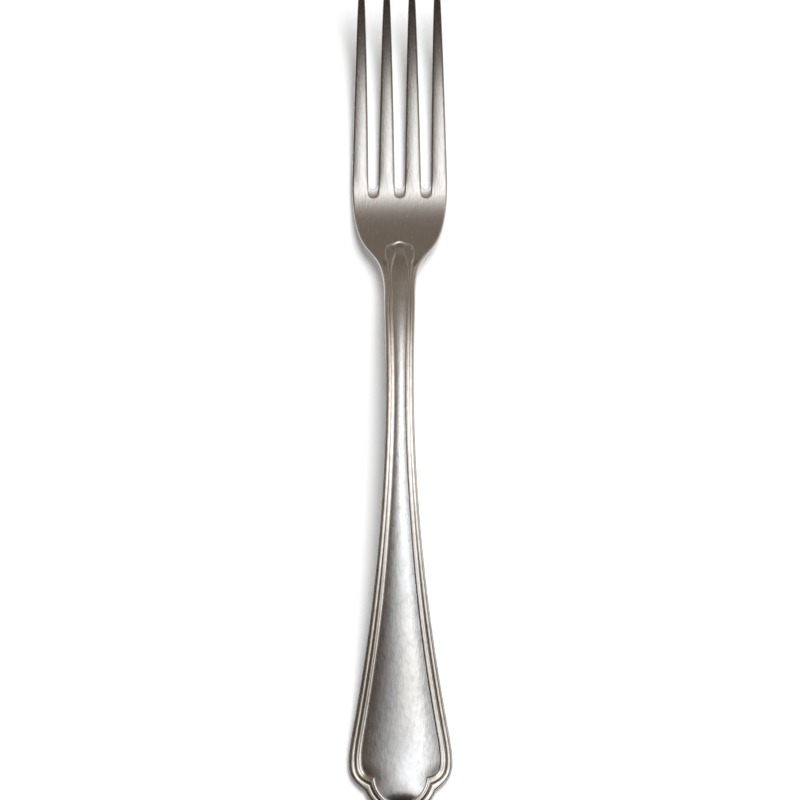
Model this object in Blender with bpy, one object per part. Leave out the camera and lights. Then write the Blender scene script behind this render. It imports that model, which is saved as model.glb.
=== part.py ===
"""Dessert fork with four tines and a double-threaded, shouldered handle.

The fork lies on the table face up. The tines point towards +Y, the handle end towards -Y and +Z
is up. The origin is under the middle of the fork, on the table. The fork is one forging, so its
regions meet at thin straight cuts, which all have the same width.
"""
import math

import bmesh
import bpy
import numpy as np
from mathutils import Vector
from mathutils.geometry import interpolate_bezier

MM = 0.001

# Lengths along the fork, named from the tips down to the handle end
FORK_LENGTH = 175.0 * MM
TINE_LENGTH = 44.6 * MM  # tine tip to slot end on the upper face
SLOT_LEAD = 3.6 * MM  # slot end up to the cut that parts the tines from the palm
PALM_LENGTH = 8.3 * MM  # slot end down to the cut that parts the palm from the neck
NECK_LENGTH = 20.6 * MM
STEM_LENGTH = 39.0 * MM
HANDLE_END_LENGTH = 18.4 * MM

# Widths seen from above
PALM_WIDTH = 20.2 * MM
NECK_WIDTH = 6.6 * MM
STEM_WIDTH = 5.85 * MM  # at its narrowest
HANDLE_WIDTH = 20.1 * MM  # where the shoulders begin
NECK_PLACE = 12.85 * MM  # palm cut down to the end of the palm's flare
WAIST_PLACE = 30.1 * MM  # palm cut down to the narrowest place of the stem

# Tines
TINE_COUNT = 4
TINE_ROOT_WIDTH = 3.5 * MM
TINE_TIP_WIDTH = 0.95 * MM
TIP_PITCH = 5.3 * MM
TIP_ROUND = 0.6 * MM
TINE_TAPER = 0.6
SLOT_SCOOP = 2.0 * MM  # how far the slot end leans back from the lower to the upper face
SCOOP_FLARE = 0.25 * MM  # how much wider each side of the slot is at the scoop

# Side view: the line along the middle of the back
ARCH_RISE = 6.75 * MM
TIP_RISE = 11.4 * MM
TIP_SLOPE = 0.53
BELLY_PLACE = 1.6 * MM  # slot end up to the lowest point of the head
ARCH_PLACE = 52.4 * MM  # palm cut down to the top of the arch
HEEL_PLACE = 7.5 * MM  # handle end up to where the back meets the table
REST_CUT = 0.1 * MM  # depth of the two flats that the fork rests on

# Thickness from the back to the plain face
TIP_THICKNESS = 1.2 * MM
ROOT_THICKNESS = 2.1 * MM
PALM_THICKNESS = 2.3 * MM
NECK_THICKNESS = 3.3 * MM
STEM_THICKNESS = 3.0 * MM
HANDLE_THICKNESS = 1.9 * MM
END_THICKNESS = 1.7 * MM

# How far the back rises from its middle to its edges
PALM_BACK_ROUND = 0.35 * MM
STEM_BACK_ROUND = 1.2 * MM
HANDLE_BACK_ROUND = 0.35 * MM
EDGE_ROUND = 0.4 * MM

# Threads and crowned panel on the upper face
STEM_BORDER = 1.85 * MM  # edge to panel, both threads together
HANDLE_BORDER = 2.5 * MM
THREAD_HEIGHT = 0.25 * MM
PLATEAU = 0.8  # share of the thread height that the tongue's plain top has
CROWN = 0.13  # height of the panel's crown over its half width

# Raised tongue on the neck, round at its top
TONGUE_WIDTH = 6.35 * MM
TONGUE_GAP = 0.7 * MM  # palm cut down to the top of the tongue
TONGUE_ARCH = 1.7 * MM  # height of the tongue's round top
TONGUE_LENGTH = 7.1 * MM  # top of the tongue down to the edge of the neck
TONGUE_WAIST = 5.7 * MM
TONGUE_WAIST_PLACE = 4.0 * MM
BOTTLE_WIDTH = 1.5 * MM  # panel at the top of the tongue
BOTTLE_BELLY_WIDTH = 3.4 * MM
BOTTLE_BELLY_PLACE = 5.1 * MM

# Handle end: two shoulders and a round lobe
LOBE_RADIUS = 8.1 * MM
PANEL_LOBE_RADIUS = 5.45 * MM
CORNER_HALF_WIDTH = 7.5 * MM  # the corner between shoulder and lobe
SHOULDER_SLOPE = 0.185
SHOULDER_FALL = 9.0 * MM
SHOULDER_PULL = 5.0 * MM
SHOULDER_LEAN = math.radians(39.0)

SEAM = 0.3 * MM
WELD = 0.001 * MM

STEEL = (0.63, 0.615, 0.595, 1.0)
STEEL_ROUGHNESS = 0.27

# Places along the fork that follow from the lengths
Y_TIP = FORK_LENGTH / 2
Y_END = -FORK_LENGTH / 2
Y_SLOT = Y_TIP - TINE_LENGTH
Y_TINE_CUT = Y_SLOT + SLOT_LEAD
Y_PALM_CUT = Y_SLOT - PALM_LENGTH
Y_NECK_CUT = Y_PALM_CUT - NECK_LENGTH
Y_STEM_CUT = Y_NECK_CUT - STEM_LENGTH
Y_HANDLE_CUT = Y_END + HANDLE_END_LENGTH
Y_NECK = Y_PALM_CUT - NECK_PLACE
Y_WAIST = Y_PALM_CUT - WAIST_PLACE
Y_BELLY = Y_SLOT + BELLY_PLACE
Y_ARCH = Y_PALM_CUT - ARCH_PLACE
Y_HEEL = Y_END + HEEL_PLACE
Y_LOBE = Y_END + LOBE_RADIUS
Y_TONGUE = Y_PALM_CUT - TONGUE_GAP
Y_TONGUE_FOOT = Y_TONGUE - TONGUE_LENGTH
ROOT_PITCH = (PALM_WIDTH - TINE_ROOT_WIDTH) / (TINE_COUNT - 1)
SLOT_WIDTH = ROOT_PITCH - TINE_ROOT_WIDTH


def bezier(start, pull, counter_pull, end, steps=96):
    """Points of one cubic curve, as an array of (along the fork, value) rows."""
    corners = [Vector((*p, 0.0)) for p in (start, pull, counter_pull, end)]
    return np.array([p[:2] for p in interpolate_bezier(*corners, steps)])


def read_curve(curves, y):
    """Value of a chain of curves at y; the rows are sorted along the fork first."""
    rows = np.concatenate(curves)
    rows = rows[np.argsort(rows[:, 0], kind="stable")]
    return np.interp(y, rows[:, 0], rows[:, 1])


def smooth_path(y, places, values):
    """Smooth line through a few values, flat past both ends."""
    order = np.argsort(places)
    places = np.array(places)[order]
    values = np.array(values)[order]
    slopes = np.gradient(values, places)
    y = np.clip(y, places[0], places[-1])
    i = np.clip(np.searchsorted(places, y) - 1, 0, len(places) - 2)
    span = places[i + 1] - places[i]
    t = (y - places[i]) / span
    start = (1 + 2 * t) * (1 - t) ** 2 * values[i] + t * (1 - t) ** 2 * span * slopes[i]
    end = t * t * (3 - 2 * t) * values[i + 1] - t * t * (1 - t) * span * slopes[i + 1]
    return start + end


def outline_curves():
    """The outer edge from the palm to the shoulders, as (along, half width)."""
    flare = Y_TINE_CUT - Y_NECK
    upper = Y_NECK - Y_WAIST
    lower = Y_WAIST - Y_HANDLE_CUT
    palm = (Y_TINE_CUT, PALM_WIDTH / 2)
    neck = (Y_NECK, NECK_WIDTH / 2)
    waist = (Y_WAIST, STEM_WIDTH / 2)
    shoulder = (Y_HANDLE_CUT, HANDLE_WIDTH / 2)
    run = 0.37 * lower
    return [
        bezier(palm, (palm[0] - 0.8 * flare, palm[1]), (neck[0] + 0.56 * flare, neck[1]), neck),
        bezier(neck, (neck[0] - 0.17 * upper, neck[1]), (waist[0] + 0.46 * upper, waist[1]), waist),
        bezier(waist, (waist[0] - 0.29 * lower, waist[1]),
               (shoulder[0] + run, shoulder[1] - SHOULDER_SLOPE * run), shoulder),
    ]


def back_curves():
    """The middle of the back in side view, as (along, height)."""
    tines = Y_TIP - Y_BELLY
    arch = Y_BELLY - Y_ARCH
    handle = Y_ARCH - Y_HEEL
    tip = (Y_TIP, TIP_RISE)
    belly = (Y_BELLY, 0.0)
    top = (Y_ARCH, ARCH_RISE)
    heel = (Y_HEEL, 0.0)
    return [
        bezier(tip, (tip[0] - tines / 3, tip[1] - TIP_SLOPE * tines / 3), (belly[0] + tines / 3, 0.0), belly),
        bezier(belly, (belly[0] - 0.17 * arch, 0.0), (top[0] + 0.785 * arch, top[1]), top),
        bezier(top, (top[0] - 0.45 * handle, top[1]), (heel[0] + 0.19 * handle, 0.0), heel),
    ]


OUTLINE = outline_curves()
BACK = back_curves()


def half_width(y):
    return read_curve(OUTLINE, y)


def back(y):
    """Height of the middle of the back, before the flats are cut."""
    return read_curve(BACK, y) - REST_CUT


def thickness(y):
    places = [Y_TIP, Y_TINE_CUT, Y_PALM_CUT, Y_NECK_CUT, Y_STEM_CUT, Y_HANDLE_CUT, Y_END]
    sizes = [TIP_THICKNESS, ROOT_THICKNESS, PALM_THICKNESS, NECK_THICKNESS,
             STEM_THICKNESS, HANDLE_THICKNESS, END_THICKNESS]
    return smooth_path(y, places, sizes)


def back_round(y):
    places = [Y_PALM_CUT, Y_NECK_CUT, Y_STEM_CUT, Y_HANDLE_CUT]
    sizes = [PALM_BACK_ROUND, STEM_BACK_ROUND, STEM_BACK_ROUND, HANDLE_BACK_ROUND]
    return smooth_path(y, places, sizes)


def face(y):
    """Height of the plain upper face."""
    return back(y) + thickness(y)


def tongue_edge(y):
    """Half width of the threaded field: the tongue's outline, then the neck's own edge."""
    foot = half_width(Y_TONGUE_FOOT) - EDGE_ROUND
    places = [Y_TONGUE_FOOT, Y_TONGUE - TONGUE_WAIST_PLACE, Y_TONGUE - TONGUE_ARCH]
    side = smooth_path(y, places, [foot, TONGUE_WAIST / 2, TONGUE_WIDTH / 2])
    lift = np.clip((y - (Y_TONGUE - TONGUE_ARCH)) / TONGUE_ARCH, 0.0, 1.0)
    side = side * np.sqrt(np.maximum(1.0 - lift ** 2, 0.1))
    return np.where(y < Y_TONGUE_FOOT, half_width(y) - EDGE_ROUND, side)


def border(y):
    return smooth_path(y, [Y_WAIST, Y_HANDLE_CUT], [STEM_BORDER, HANDLE_BORDER])


def panel_edge(y):
    """Half width of the crowned panel, with the bottle shape on the tongue."""
    foot = half_width(Y_TONGUE_FOOT) - border(Y_TONGUE_FOOT)
    places = [Y_TONGUE_FOOT, Y_TONGUE - BOTTLE_BELLY_PLACE, Y_TONGUE - TONGUE_ARCH]
    bottle = smooth_path(y, places, [foot, BOTTLE_BELLY_WIDTH / 2, BOTTLE_WIDTH / 2])
    return np.where(y < Y_TONGUE_FOOT, half_width(y) - border(y), np.minimum(bottle, 0.6 * tongue_edge(y)))


def metal(name):
    material = bpy.data.materials.new(name + "_metal")
    material.use_nodes = True
    shader = material.node_tree.nodes["Principled BSDF"]
    shader.inputs["Base Color"].default_value = STEEL
    shader.inputs["Metallic"].default_value = 1.0
    shader.inputs["Roughness"].default_value = STEEL_ROUGHNESS
    return material


def solid_from_rings(name, rings, last_cap=True):
    """One closed solid through a row of closed rings with equal counts."""
    shape = bmesh.new()
    loops = [[shape.verts.new(point) for point in ring] for ring in rings]
    count = len(loops[0])
    for lower, upper in zip(loops, loops[1:]):
        for i in range(count):
            j = (i + 1) % count
            shape.faces.new((lower[i], lower[j], upper[j], upper[i]))
    shape.faces.new(loops[0])
    if last_cap:
        shape.faces.new(loops[-1])
    bmesh.ops.remove_doubles(shape, verts=shape.verts, dist=WELD)
    bmesh.ops.triangulate(shape, faces=shape.faces)
    bmesh.ops.recalc_face_normals(shape, faces=shape.faces)
    mesh = bpy.data.meshes.new(name)
    shape.to_mesh(mesh)
    shape.free()
    thing = bpy.data.objects.new(name, mesh)
    bpy.context.scene.collection.objects.link(thing)
    mesh.materials.append(metal(name))
    return thing


def whole_ring(top, bottom):
    """A closed ring from its right half: top and bottom both run from the middle out to the edge."""
    right = top + bottom[::-1]
    left = [(-x, y, z) for x, y, z in right[1:-1]]
    return right + left[::-1]


def tine(name, place):
    """One tapered, gently rounded tine; place counts the tines from the left, from zero."""
    shift = place - (TINE_COUNT - 1) / 2
    root = Y_TINE_CUT + SEAM / 2
    along = np.linspace(root, Y_TIP - TIP_ROUND, 13)
    rounding = Y_TIP - TIP_ROUND * np.array([0.6, 0.3, 0.1, 0.0])
    rings = []
    for y in np.concatenate([along, rounding]):
        run = (Y_TIP - y) / (Y_TIP - Y_TINE_CUT)
        width = TINE_TIP_WIDTH + (TINE_ROOT_WIDTH - TINE_TIP_WIDTH) * run ** TINE_TAPER
        near = min(1.0, (Y_TIP - y) / TIP_ROUND)
        scale = math.sqrt(max(1.0 - (1.0 - near) ** 2, 0.1))
        middle = shift * (TIP_PITCH + (ROOT_PITCH - TIP_PITCH) * run)
        height = back(y) + thickness(y) / 2
        ring = []
        for k in range(16):
            turn = 2 * math.pi * (k + 0.5) / 16
            across = math.copysign(abs(math.cos(turn)) ** 0.5, math.cos(turn))
            up = math.copysign(abs(math.sin(turn)) ** 0.5, math.sin(turn))
            x = middle + scale * across * width / 2
            z = height + scale * up * thickness(y) / 2
            ring.append((x, y, max(z, 0.0)))
        rings.append(ring)
    return solid_from_rings(name, rings)


def plain_half(y):
    """Right half of a plain section: flat face, round edge and curved back."""
    wide = half_width(y)
    top = [(0.0, y, face(y)), (wide - 3 * EDGE_ROUND, y, face(y)), (wide - EDGE_ROUND, y, face(y) - EDGE_ROUND / 4),
           (wide, y, face(y) - EDGE_ROUND)]
    bottom = back_half(wide, y)
    return top, bottom


def back_half(wide, y):
    """Right half of the back, from the middle out, flat where it rests on the table."""
    rows = []
    for part in (0.0, 0.3, 0.6, 0.85):
        rows.append((part * wide, y, max(back(y) + back_round(y) * part ** 2, 0.0)))
    edge = max(back(y) + back_round(y) * 0.85 ** 2, 0.0)
    rows.append((wide - EDGE_ROUND / 4, y, max(edge + EDGE_ROUND / 2, back(y) + back_round(y))))
    return rows


def slot_cutter(place):
    """A leaning U that cuts one slot end: narrow on the back, wider and further down on the face."""
    middle = (place - (TINE_COUNT - 2) / 2) * ROOT_PITCH
    wall = thickness(Y_SLOT)
    narrow = SLOT_WIDTH / 2
    rings = []
    for level, lean in ((-1.0, 0.0), (-0.05, 0.0), (1.05, 1.0), (2.0, 1.0)):
        round_end = narrow + SCOOP_FLARE * lean
        low = Y_SLOT + SLOT_SCOOP * (1.0 - lean)
        ring = []
        for k in range(12):
            turn = math.pi * k / 11
            ring.append((middle - round_end * math.cos(turn), low + round_end * (1.0 - math.sin(turn)), level * wall))
        ring.append((middle + narrow, Y_TINE_CUT + SLOT_WIDTH, level * wall))
        ring.append((middle - narrow, Y_TINE_CUT + SLOT_WIDTH, level * wall))
        rings.append(ring)
    return solid_from_rings("slot_cutter", rings)


def palm():
    """The palm plate with its slot ends cut out."""
    rings = []
    for y in np.linspace(Y_PALM_CUT + SEAM / 2, Y_TINE_CUT - SEAM / 2, 9):
        rings.append(whole_ring(*plain_half(y)))
    plate = solid_from_rings("palm", rings)
    for place in range(TINE_COUNT - 1):
        cutter = slot_cutter(place)
        cut = plate.modifiers.new("slot", "BOOLEAN")
        cut.operation = "DIFFERENCE"
        cut.solver = "EXACT"
        cut.object = cutter
        bpy.context.view_layer.objects.active = plate
        bpy.ops.object.modifier_apply(modifier=cut.name)
        bpy.data.objects.remove(cutter, do_unlink=True)
    return plate


def threaded_top(edge, field, panel, spine, crown, raised=1.0, grooved=1.0):
    """Points from the middle out to the edge over the panel and both threads.

    edge, field, panel and spine are places in plan: the outer edge, the outer foot of the
    threads, the panel's edge and the middle of the panel. raised lifts the whole field from
    the plain face, and grooved sinks the grooves between the threads.
    """
    level = PLATEAU * THREAD_HEIGHT * (1.0 - grooved)
    rows = []
    for part in (1.0, 0.65, 0.3):
        x, y = spine * part + panel * (1 - part)
        rows.append((x, y, face(y) + raised * max(level, crown * (1 - (1 - part) ** 2))))
    for part, lift in ((0.0, 0.0), (0.26, 0.95), (0.5, 0.1), (0.76, 1.0), (1.0, 0.55)):
        x, y = panel + (field - panel) * part
        rows.append((x, y, face(y) + raised * (level + grooved * lift * THREAD_HEIGHT)))
    x, y = edge
    rows.append((x, y, face(y) - EDGE_ROUND / 2))
    return rows


def threaded_solid(name, start, end, count):
    """A straight stretch of stem or handle between two cuts."""
    rings = []
    for y in np.linspace(start, end, count):
        wide = half_width(y)
        side = panel_edge(y)
        top = threaded_top(np.array((wide, y)), np.array((wide - EDGE_ROUND / 2, y)), np.array((side, y)),
                           np.array((0.0, y)), CROWN * side)
        rings.append(whole_ring(top, back_half(wide, y)))
    return solid_from_rings(name, rings)


def neck():
    """The neck, from the shoulders of the palm to the stem, with the raised tongue."""
    top_end = Y_PALM_CUT - SEAM / 2
    arch = Y_TONGUE - TONGUE_ARCH * np.array([0.0, 0.12, 0.35, 0.65, 1.0])
    tongue = np.linspace(arch[-1], Y_TONGUE_FOOT, 7)[1:]
    lower = np.linspace(Y_TONGUE_FOOT, Y_NECK_CUT + SEAM / 2, 7)[1:]
    plain = [top_end, Y_TONGUE + (top_end - Y_TONGUE) * 0.35]
    rings = []
    for y in np.concatenate([plain, arch, tongue, lower]):
        wide = half_width(y)
        field = float(tongue_edge(min(y, Y_TONGUE)))
        side = float(panel_edge(min(y, Y_TONGUE)))
        raised = 1.0 if y <= Y_TONGUE else 0.0
        grooved = 1.0 if y <= arch[-2] else 0.0
        top = threaded_top(np.array((wide, y)), np.array((field, y)), np.array((side, y)),
                           np.array((0.0, y)), CROWN * side, raised, grooved)
        foot = field + (wide - field) * min(0.5, EDGE_ROUND / 2 / (wide - field))
        rim = max(wide - 2 * EDGE_ROUND, (foot + wide) / 2)
        top[-1:-1] = [(foot, y, face(y)), (rim, y, face(y))]
        rings.append(whole_ring(top, back_half(wide, y)))
    return solid_from_rings("neck", rings)


def end_rows():
    """Rows from edge to panel edge to middle, round the right half of the handle end."""
    top = Y_HANDLE_CUT - SEAM / 2
    corner_y = Y_LOBE - math.sqrt(LOBE_RADIUS ** 2 - CORNER_HALF_WIDTH ** 2)
    wide = HANDLE_WIDTH / 2
    side = wide - HANDLE_BORDER
    fall = SHOULDER_FALL / (Y_HANDLE_CUT - corner_y) * (top - corner_y)
    outer = bezier((wide, top), (wide + SHOULDER_SLOPE * fall, top - fall),
                   (CORNER_HALF_WIDTH + SHOULDER_PULL * math.cos(SHOULDER_LEAN),
                    corner_y + SHOULDER_PULL * math.sin(SHOULDER_LEAN)), (CORNER_HALF_WIDTH, corner_y), 15)
    inner_fall = 0.75 * (top - Y_LOBE)
    inner = bezier((side, top), (side + SHOULDER_SLOPE * inner_fall, top - inner_fall),
                   (PANEL_LOBE_RADIUS + 0.63 * SHOULDER_PULL, Y_LOBE + 0.1 * HANDLE_BORDER),
                   (PANEL_LOBE_RADIUS, Y_LOBE), 15)
    rows = []
    for place, (edge, panel) in enumerate(zip(outer, inner)):
        spine = np.array((0.0, top + (Y_LOBE - top) * place / 14))
        rows.append((edge, panel, spine))
    start = math.asin((Y_LOBE - corner_y) / LOBE_RADIUS)
    steps = 9
    for step in range(1, steps + 1):
        turn = start + (math.pi / 2 - start) * step / steps
        inner_turn = math.pi / 2 * step / steps
        edge = LOBE_RADIUS * np.array((math.cos(turn), -math.sin(turn)))
        panel = PANEL_LOBE_RADIUS * np.array((math.cos(inner_turn), -math.sin(inner_turn)))
        middle = np.array((0.0, Y_LOBE))
        if step == steps:
            edge[0] = 0.0
            panel[0] = 0.0
        rows.append((edge + middle, panel + middle, middle))
    return rows


def handle_end():
    """Shoulders and lobe: rows that turn with the edge, folded shut at the tip of the lobe."""
    rings = []
    for edge, panel, spine in end_rows():
        inward = (panel - edge) / np.linalg.norm(panel - edge)
        field = edge + inward * EDGE_ROUND / 2
        top = threaded_top(edge, field, panel, spine, CROWN * (HANDLE_WIDTH / 2 - HANDLE_BORDER))
        bottom = []
        for part in (0.0, 0.3, 0.6, 0.85):
            x, y = spine + (edge - spine) * part
            bottom.append((x, y, max(back(y) + back_round(y) * part ** 2, 0.0)))
        x, y = edge + inward * EDGE_ROUND / 4
        bottom.append((x, y, max(bottom[-1][2] + EDGE_ROUND / 2, back(y) + back_round(y))))
        rings.append(whole_ring(top, bottom))
    return solid_from_rings("handle_end", rings, last_cap=False)


def main():
    for thing in list(bpy.data.objects):
        bpy.data.objects.remove(thing, do_unlink=True)
    names = ["left_outer_tine", "left_inner_tine", "right_inner_tine", "right_outer_tine"]
    for place, name in enumerate(names):
        tine(name, place)
    palm()
    neck()
    threaded_solid("stem", Y_NECK_CUT - SEAM / 2, Y_STEM_CUT + SEAM / 2, 11)
    threaded_solid("handle", Y_STEM_CUT - SEAM / 2, Y_HANDLE_CUT + SEAM / 2, 12)
    handle_end()


main()
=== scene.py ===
"""Fine surfaces, worn steel and a white studio for the dessert fork.

The fork lies face up with its tines towards +Y, as in the CAD model. Each region is one closed
surface that meets its neighbours exactly at the cuts, so the fork looks like the one forging it is.
"""
import math

import bmesh
import bpy
import numpy as np
from bpy.props import FloatProperty, FloatVectorProperty, PointerProperty
from bpy.types import Operator, Panel, PropertyGroup
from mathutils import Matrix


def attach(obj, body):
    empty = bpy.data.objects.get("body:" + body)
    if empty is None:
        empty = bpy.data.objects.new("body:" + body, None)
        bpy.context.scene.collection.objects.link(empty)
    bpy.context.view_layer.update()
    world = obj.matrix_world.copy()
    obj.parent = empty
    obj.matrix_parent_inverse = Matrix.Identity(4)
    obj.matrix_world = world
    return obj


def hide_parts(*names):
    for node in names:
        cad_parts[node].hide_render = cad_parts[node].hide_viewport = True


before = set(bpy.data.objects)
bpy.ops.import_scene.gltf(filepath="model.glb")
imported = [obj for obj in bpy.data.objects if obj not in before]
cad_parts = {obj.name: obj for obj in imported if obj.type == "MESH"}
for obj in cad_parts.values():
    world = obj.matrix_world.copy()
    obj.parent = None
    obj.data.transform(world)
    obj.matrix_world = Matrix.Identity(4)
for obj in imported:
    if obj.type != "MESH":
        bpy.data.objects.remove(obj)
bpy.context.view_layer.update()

bl_info = {
    "name": "Dessert Fork",
    "version": (1, 0, 0),
    "blender": (4, 5, 0),
    "location": "View3D > Sidebar > Fork",
    "description": "Builds the visible surfaces of a threaded dessert fork",
    "category": "Object",
}

MM = 0.001
TINES = ("left_outer_tine", "left_inner_tine", "right_inner_tine", "right_outer_tine")

# Fineness of the surfaces: merging distance, first step inside a cut, and numbers of points.
WELD = 5e-8
NUDGE = 0.04 * MM
LAST_SHARE = 0.996
CURVE_POINTS = 1200
SHOULDER_ROWS = 110
LOBE_ROWS = 60
WALL_SHARES = np.linspace(0.0, 1.0, 6)
THREAD_SHARES = np.linspace(1.0, 0.0, 81)[None, 1:]
WORN_SHARES = 1.0 - (1.0 - np.linspace(0.0, 1.0, 11)[None, 1:]) ** 1.6

# Small forms: edges, thread sections and their lines.
LOWER_EDGE = 0.3 * MM
FLANK = 0.14 * MM
GROOVE_BELL = 0.11 * MM
FINE_BELL = 0.13 * MM
TONGUE_BELL = 0.08 * MM

# Small forms: start of the tines' arch, scoops of the slot ends, top of the tongue, handle end.
CROWN_START = 0.3 * MM
CROWN_REACH = 6.0 * MM
SCOOP_LEAD = 0.05
SCOOP_BEND = 0.6
TONGUE_POWER = 1.4
FILL_SHARE = 0.6
FILL_START = 2.2 * MM
FILL_REACH = 3.1 * MM
LIP_PLACE = 0.15 * MM
LIP_WIDTH = 0.55 * MM
SHOULDER_LEAN = math.radians(39.0)
LOBE_FAN = 3.6 * MM
END_REACH = 6.0 * MM
END_NARROWING = 1.5 * MM

# Metal: noise scales in X, Y and Z, and the stretches along Y where handle metal turns into head metal.
HAIR_GRAIN = (3000.0, 600.0, 300.0)
ROUND_GRAIN = (1000.0, 560.0, 600.0)
HAIR_HEIGHT = 0.02 * MM
DENT_HEIGHT = 0.08 * MM
HEAD_RANGE = (-0.01, 0.03)
SATIN_RANGE = (0.015, 0.035)
# How much of the groove colour goes into the grooves: partly tarnish in the hollows, partly painted shade
# where the grooves lie deep.
GROOVE_TARNISH_AND_SHADE = 0.45
THREAD_WARMTH = 0.7

# Stage: floor, lamp, camera, and the ranges of a direction's Y and Z over which the room's light changes.
FLOOR_REACH = 6.0
FLOOR_POINTS = 9
FLOOR_DROP = 0.02 * MM
LAMP_WIDTH = math.radians(26.0)
LAMP_TURN = (math.radians(-26.0), math.radians(12.5), 0.0)
LAMP_COLOUR = (0.96, 0.98, 1.0)
SENSOR = 36.0
CAMERA_ROLL = math.radians(-0.094)
ROOM_RANGE = (-0.72, 0.25)
HORIZON_RANGE = (0.05, 0.32)

# Lights that the metal mirrors, each a bell: middle and spread in a direction's X and Y, and colour.
# Most rows, ROOM_RANGE and the room's two tints began as a scratch program's least-squares fit to the
# photo's levels. They were then changed and rounded. The last two rows are the side walls.
WINDOW = (
    ((0.13, 0.13), (0.125, 0.09), (1.68, 1.70, 1.70)),
    ((0.05, 0.30), (0.3, 0.09), (0.165, 0.16, 0.155)),
    ((0.01, 0.0), (0.1, 0.05), (1.08, 1.04, 1.04)),
    ((0.19, -0.16), (0.19, 0.155), (1.60, 1.66, 1.70)),
    ((-0.165, -0.15), (0.13, 0.26), (0.305, 0.32, 0.32)),
    ((0.30, -0.31), (0.055, 0.05), (0.85, 0.84, 0.78)),
    ((0.15, -0.40), (0.15, 0.05), (0.86, 0.79, 0.68)),
    ((0.85, 0.12), (0.28, 0.26), (0.5, 0.49, 0.48)),
    ((-0.75, 0.45), (0.2, 0.16), (0.35, 0.32, 0.28)),
)


def size(name, millimetres, description):
    """A length that the user can change, given here in millimetres and kept in metres."""
    return FloatProperty(name=name, description=description, default=millimetres * MM, min=0.0,
                         precision=5, unit="LENGTH")


def share(name, default, description):
    """A plain number that the user can change."""
    return FloatProperty(name=name, description=description, default=default, min=0.0, max=4.0)


def tint(name, default, description):
    """A colour that the user can change."""
    return FloatVectorProperty(name=name, description=description, default=default, size=3,
                               min=0.0, max=1.0, subtype="COLOR")


class ForkPlan(PropertyGroup):
    """Sizes seen from above."""
    fork_length: size("Fork Length", 175.0, "Tine tips to handle end")
    tine_length: size("Tine Length", 44.6, "Tine tip to slot end on the upper face")
    slot_lead: size("Slot Lead", 3.6, "Slot end up to the cut between tines and palm")
    palm_length: size("Palm Length", 8.3, "Slot end down to the cut between palm and neck")
    neck_length: size("Neck Length", 20.6, "Cut to cut along the neck")
    stem_length: size("Stem Length", 39.0, "Cut to cut along the stem")
    end_length: size("Handle End Length", 18.4, "Shoulders and lobe together")
    palm_width: size("Palm Width", 20.2, "Across the roots of the tines")
    neck_width: size("Neck Width", 6.6, "Where the flare of the palm ends")
    stem_width: size("Stem Width", 5.85, "At the narrowest place")
    handle_width: size("Handle Width", 20.1, "Where the shoulders begin")
    neck_place: size("Neck Place", 12.85, "Palm cut down to the end of the flare")
    waist_place: size("Waist Place", 30.1, "Palm cut down to the narrowest place")
    tine_root_width: size("Tine Root Width", 3.5, "Width of a tine at the palm")
    tine_tip_width: size("Tine Tip Width", 0.95, "Width of a tine at its tip")
    tip_pitch: size("Tip Pitch", 5.3, "Distance between neighbouring tips")
    tip_round: size("Tip Round", 0.9, "Length of the rounding at a tip")
    tine_taper: share("Tine Taper", 0.6, "Power of the tine's taper")
    slot_scoop: size("Slot Scoop", 2.0, "How far a slot end leans back from back to face")
    ledge: share("Scoop Depth", 0.08, "Depth of a scoop over the thickness of the palm")
    scoop_flare: size("Scoop Flare", 0.03, "How much wider each side of a slot is at its scoop")
    lobe_radius: size("Lobe Radius", 8.1, "Round end of the handle")
    panel_lobe_radius: size("Panel Lobe Radius", 5.45, "Round end of the crowned panel")
    corner_half_width: size("Corner Half Width", 7.5, "Corner between shoulder and lobe")
    shoulder_fall: size("Shoulder Fall", 9.0, "How long the shoulder keeps the handle's flare")
    shoulder_pull: size("Shoulder Pull", 5.0, "How long the shoulder keeps the corner's slant")


class ForkSide(PropertyGroup):
    """Heights and thicknesses seen from the side."""
    arch_rise: size("Arch Rise", 6.75, "Height of the back under the stem")
    tip_rise: size("Tip Rise", 11.4, "Height of the back under the tips")
    belly_place: size("Belly Place", 1.6, "Slot end up to the lowest place of the head")
    arch_place: size("Arch Place", 52.4, "Palm cut down to the top of the arch")
    heel_place: size("Heel Place", 7.5, "Handle end up to where the back meets the table")
    rest_cut: size("Rest Cut", 0.1, "Depth of the two worn flats on the back")
    tip_thick: size("Tip Thickness", 1.2, "At the tips")
    root_thick: size("Root Thickness", 2.1, "At the roots of the tines")
    palm_thick: size("Palm Thickness", 2.3, "At the lower end of the palm")
    neck_thick: size("Neck Thickness", 3.3, "At the lower end of the neck")
    stem_thick: size("Stem Thickness", 3.0, "At the lower end of the stem")
    handle_thick: size("Handle Thickness", 1.9, "At the shoulders")
    end_thick: size("End Thickness", 1.7, "At the lobe")
    palm_back: size("Palm Back", 0.35, "Rise of the back from middle to edge at the palm")
    stem_back: size("Stem Back", 1.2, "Rise of the back from middle to edge at the stem")
    handle_back: size("Handle Back", 0.35, "Rise of the back from middle to edge at the handle")
    tip_slope: share("Tip Slope", 0.53, "Slope of the tines at their tips")


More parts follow.
